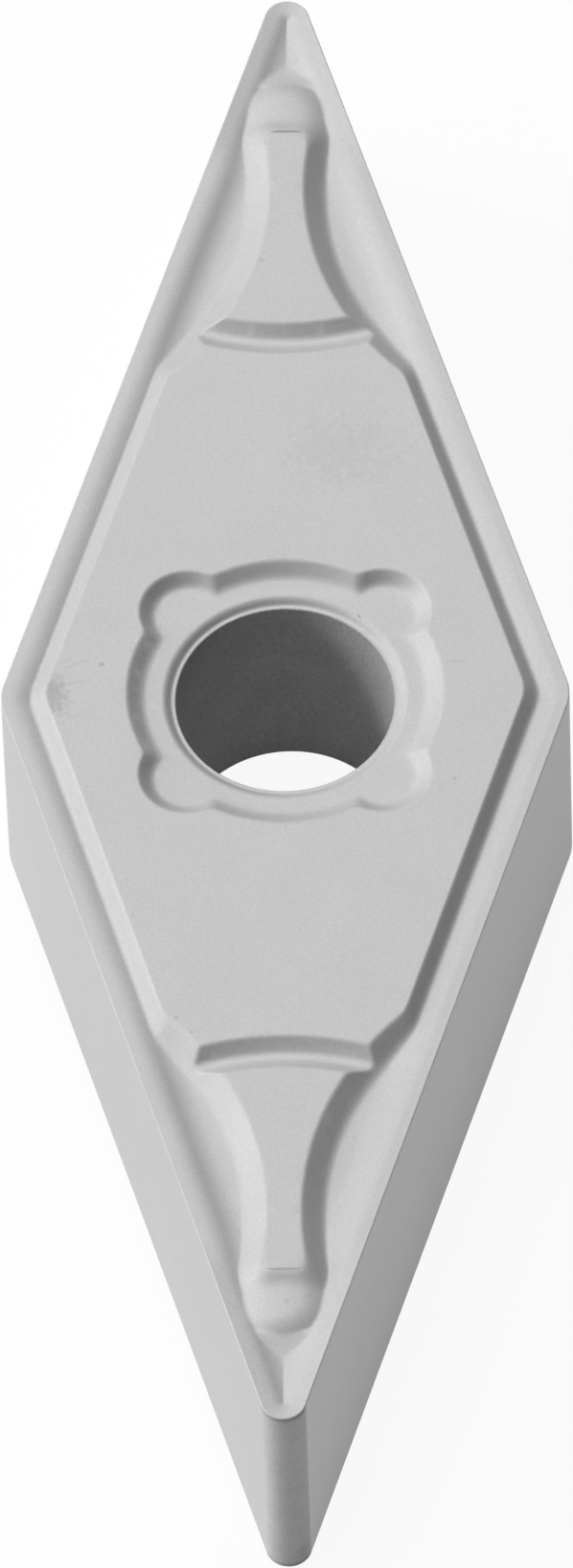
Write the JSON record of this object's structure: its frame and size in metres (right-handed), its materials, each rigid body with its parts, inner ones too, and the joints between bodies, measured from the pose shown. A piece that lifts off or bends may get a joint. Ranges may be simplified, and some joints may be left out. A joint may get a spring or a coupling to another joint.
{
  "type": "carbide insert",
  "caption": "Double-sided 35 degree rhombic turning insert of cemented carbide, with a cylindrical hole and moulded chip-breaker relief at both noses.",
  "frame": {"origin": "hole axis, on the plane of the lower seating lands", "axes": "+Z along the hole axis to the upper lands, +Y along the long diagonal to one nose, +X along the short diagonal"},
  "size_m": [0.0098, 0.0298, 0.005],
  "materials": {
    "carbide": "satin sintered skin with finely ground lands"
  },
  "bodies": {
    "root": {"carbide_insert": "carbide"}
  },
  "joints": []
}
